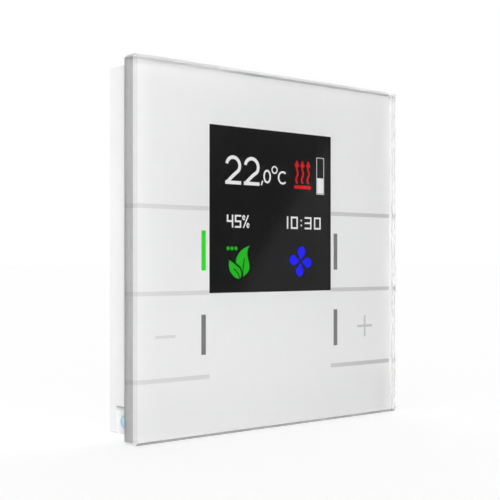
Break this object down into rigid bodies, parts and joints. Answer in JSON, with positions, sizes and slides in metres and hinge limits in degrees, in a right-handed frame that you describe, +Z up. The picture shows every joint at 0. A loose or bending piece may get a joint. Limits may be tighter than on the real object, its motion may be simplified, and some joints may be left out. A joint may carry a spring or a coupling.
{
  "type": "wall thermostat",
  "caption": "Square glass-fronted room temperature controller with a display and touch fields, clipped on a steel wall ring over a flush box.",
  "frame": {"origin": "centre of the wall plane, midway between the wall screws", "axes": "+Z up, +Y into the wall, the glass faces -Y and +X is to the right of a person facing it"},
  "size_m": [0.092, 0.013, 0.092],
  "materials": {
    "clear_glass": "polished float glass with ground chamfers",
    "white_enamel": "white ceramic print behind the glass",
    "grey_enamel": "grey ceramic print behind the glass",
    "sensor_foil": "polyimide foil with printed electrodes",
    "foam_tape": "closed-cell acrylic foam tape",
    "housing_white": "fine moulded texture",
    "cover_white": "fine moulded texture",
    "carrier_black": "moulded, light absorbing",
    "display_glass": "dark display glass",
    "backlight_white": "white reflector film",
    "flex_amber": "polyimide flat cable",
    "connector_ivory": "moulded connector",
    "lens_green_lit": "clear light guide, lit green",
    "lens_unlit": "clear light guide, unlit",
    "led_yellow": "surface-mounted light",
    "pcb_green": "solder resist on glass fibre",
    "chip_black": "moulded chip",
    "ferrite_grey": "ferrite drum",
    "capacitor_amber": "moulded tantalum capacitor",
    "crystal_can": "welded steel can",
    "screw_zinc": "zinc-plated steel",
    "sensor_blue": "blue epoxy bead",
    "lead_tinned": "tinned wire",
    "header_black": "moulded header",
    "pin_gold": "gold-flashed brass",
    "switch_black": "moulded switch body",
    "button_red": "moulded plunger",
    "led_red": "surface-mounted light",
    "insert_brass": "turned brass",
    "screw_steel": "stainless grub screw",
    "ring_zinc": "zinc-plated sheet steel",
    "spring_steel": "stainless spring strip"
  },
  "bodies": {
    "wall_ring": {"mounting_ring": "ring_zinc", "lock_tab": "ring_zinc", "ring_clips": "spring_steel"},
    "device": {"front_glass": "clear_glass", "white_print": "white_enamel", "grey_print": "grey_enamel", "touch_foil": "sensor_foil", "adhesive_tape": "foam_tape", "housing_frame": "housing_white", "rear_cover": "cover_white", "display_carrier": "carrier_black", "display_panel": "display_glass", "backlight_unit": "backlight_white", "display_flex": "flex_amber", "touch_flex": "flex_amber", "display_connector": "connector_ivory", "touch_connector": "connector_ivory", "status_lens_left_upper": "lens_green_lit", "status_lens_left_lower": "lens_unlit", "status_lens_right_upper": "lens_unlit", "status_lens_right_lower": "lens_unlit", "status_leds": "led_yellow", "main_pcb": "pcb_green", "processor": "chip_black", "touch_controller": "chip_black", "bus_transceiver": "chip_black", "power_inductor": "ferrite_grey", "capacitors": "capacitor_amber", "quartz_crystal": "crystal_can", "carrier_screws": "screw_zinc", "housing_screws": "screw_zinc", "sensor_bead": "sensor_blue", "sensor_leads": "lead_tinned", "bus_header": "header_black", "bus_pins": "pin_gold", "programming_switch": "switch_black", "programming_led": "led_red", "locking_insert": "insert_brass"},
    "programming_button": {"programming_button": "button_red"},
    "locking_screw": {"locking_screw": "screw_steel"}
  },
  "joints": [
    {"name": "device_pull_off", "type": "slide", "parent": "wall_ring", "child": "device", "axis": [0, -1, 0], "range_m": [0, 0.03]},
    {"name": "programming_button_press", "type": "slide", "parent": "device", "child": "programming_button", "axis": [0, -1, 0], "range_m": [0, 0.0003], "stiffness_N_per_m": 1500, "springref_m": -0.0004},
    {"name": "locking_screw_drive", "type": "slide", "parent": "device", "child": "locking_screw", "axis": [0, 0, 1], "range_m": [0, 0.0035]}
  ]
}
